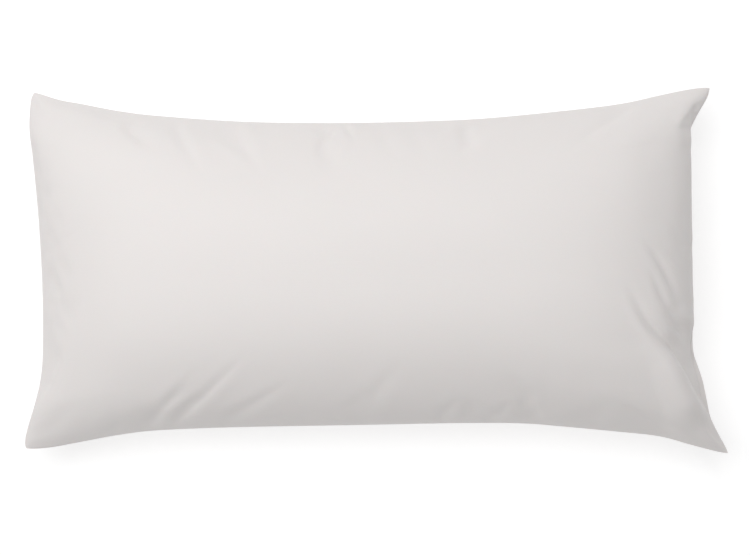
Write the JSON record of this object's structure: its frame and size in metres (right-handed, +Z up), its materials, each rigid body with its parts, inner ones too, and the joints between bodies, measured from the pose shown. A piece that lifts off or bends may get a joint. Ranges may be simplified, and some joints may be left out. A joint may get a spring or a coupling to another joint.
{
  "type": "bed pillow",
  "caption": "Rectangular bed pillow lying flat, soft corner ears, knife-edge seams, zipped cotton case round a fibre-filled insert.",
  "frame": {"origin": "on the resting surface, under the middle of the pillow's plan box", "axes": "+X along the pillow's length to the zip end, +Y across it to the rear seam, +Z up out of the front (sleeping) panel"},
  "size_m": [0.782, 0.404, 0.1649],
  "materials": {
    "sateen": "fine cotton sateen, slight sheen",
    "ticking": "plain dense cotton ticking",
    "thread": "spun polyester thread",
    "fibre": "crimped hollow fibre",
    "zip_tape": "herringbone woven tape",
    "zip_coil": "satin nylon monofilament",
    "lacquer": "satin off-white lacquer",
    "label": "blank woven satin ribbon"
  },
  "bodies": {
    "pillow": {"case_front_panel": "sateen", "case_back_panel": "sateen", "case_seam_rear": "thread", "case_seam_front": "thread", "case_seam_closed_end": "thread", "case_seam_zip_end_rear": "thread", "case_seam_zip_end_front": "thread", "insert_top_ticking": "ticking", "insert_bottom_ticking": "ticking", "insert_seam_rear": "thread", "insert_seam_front": "thread", "insert_seam_zip_end": "thread", "insert_seam_closed_end_front": "thread", "insert_closing_seam": "thread", "insert_seam_closed_end_rear": "thread", "fibre_filling": "fibre", "zip_tape_upper": "zip_tape", "zip_tape_lower": "zip_tape", "zip_coil_upper": "zip_coil", "zip_coil_lower": "zip_coil", "zip_top_stop_upper": "zip_coil", "zip_top_stop_lower": "zip_coil", "zip_bottom_stop": "zip_coil", "case_care_label": "label", "insert_care_label": "label"},
    "slider": {"zip_slider": "lacquer"},
    "pull_tab": {"zip_pull_tab": "lacquer"}
  },
  "joints": [
    {"name": "slider_run", "type": "slide", "parent": "pillow", "child": "slider", "axis": [0.0384, -0.9993, 0], "range_m": [0, 0.196]},
    {"name": "pull_tab_swing", "type": "hinge", "parent": "slider", "child": "pull_tab", "pos_m": [0.34479, 0.12497, 0.072], "axis": [0, 0, 1], "range_deg": [0, 150]}
  ]
}
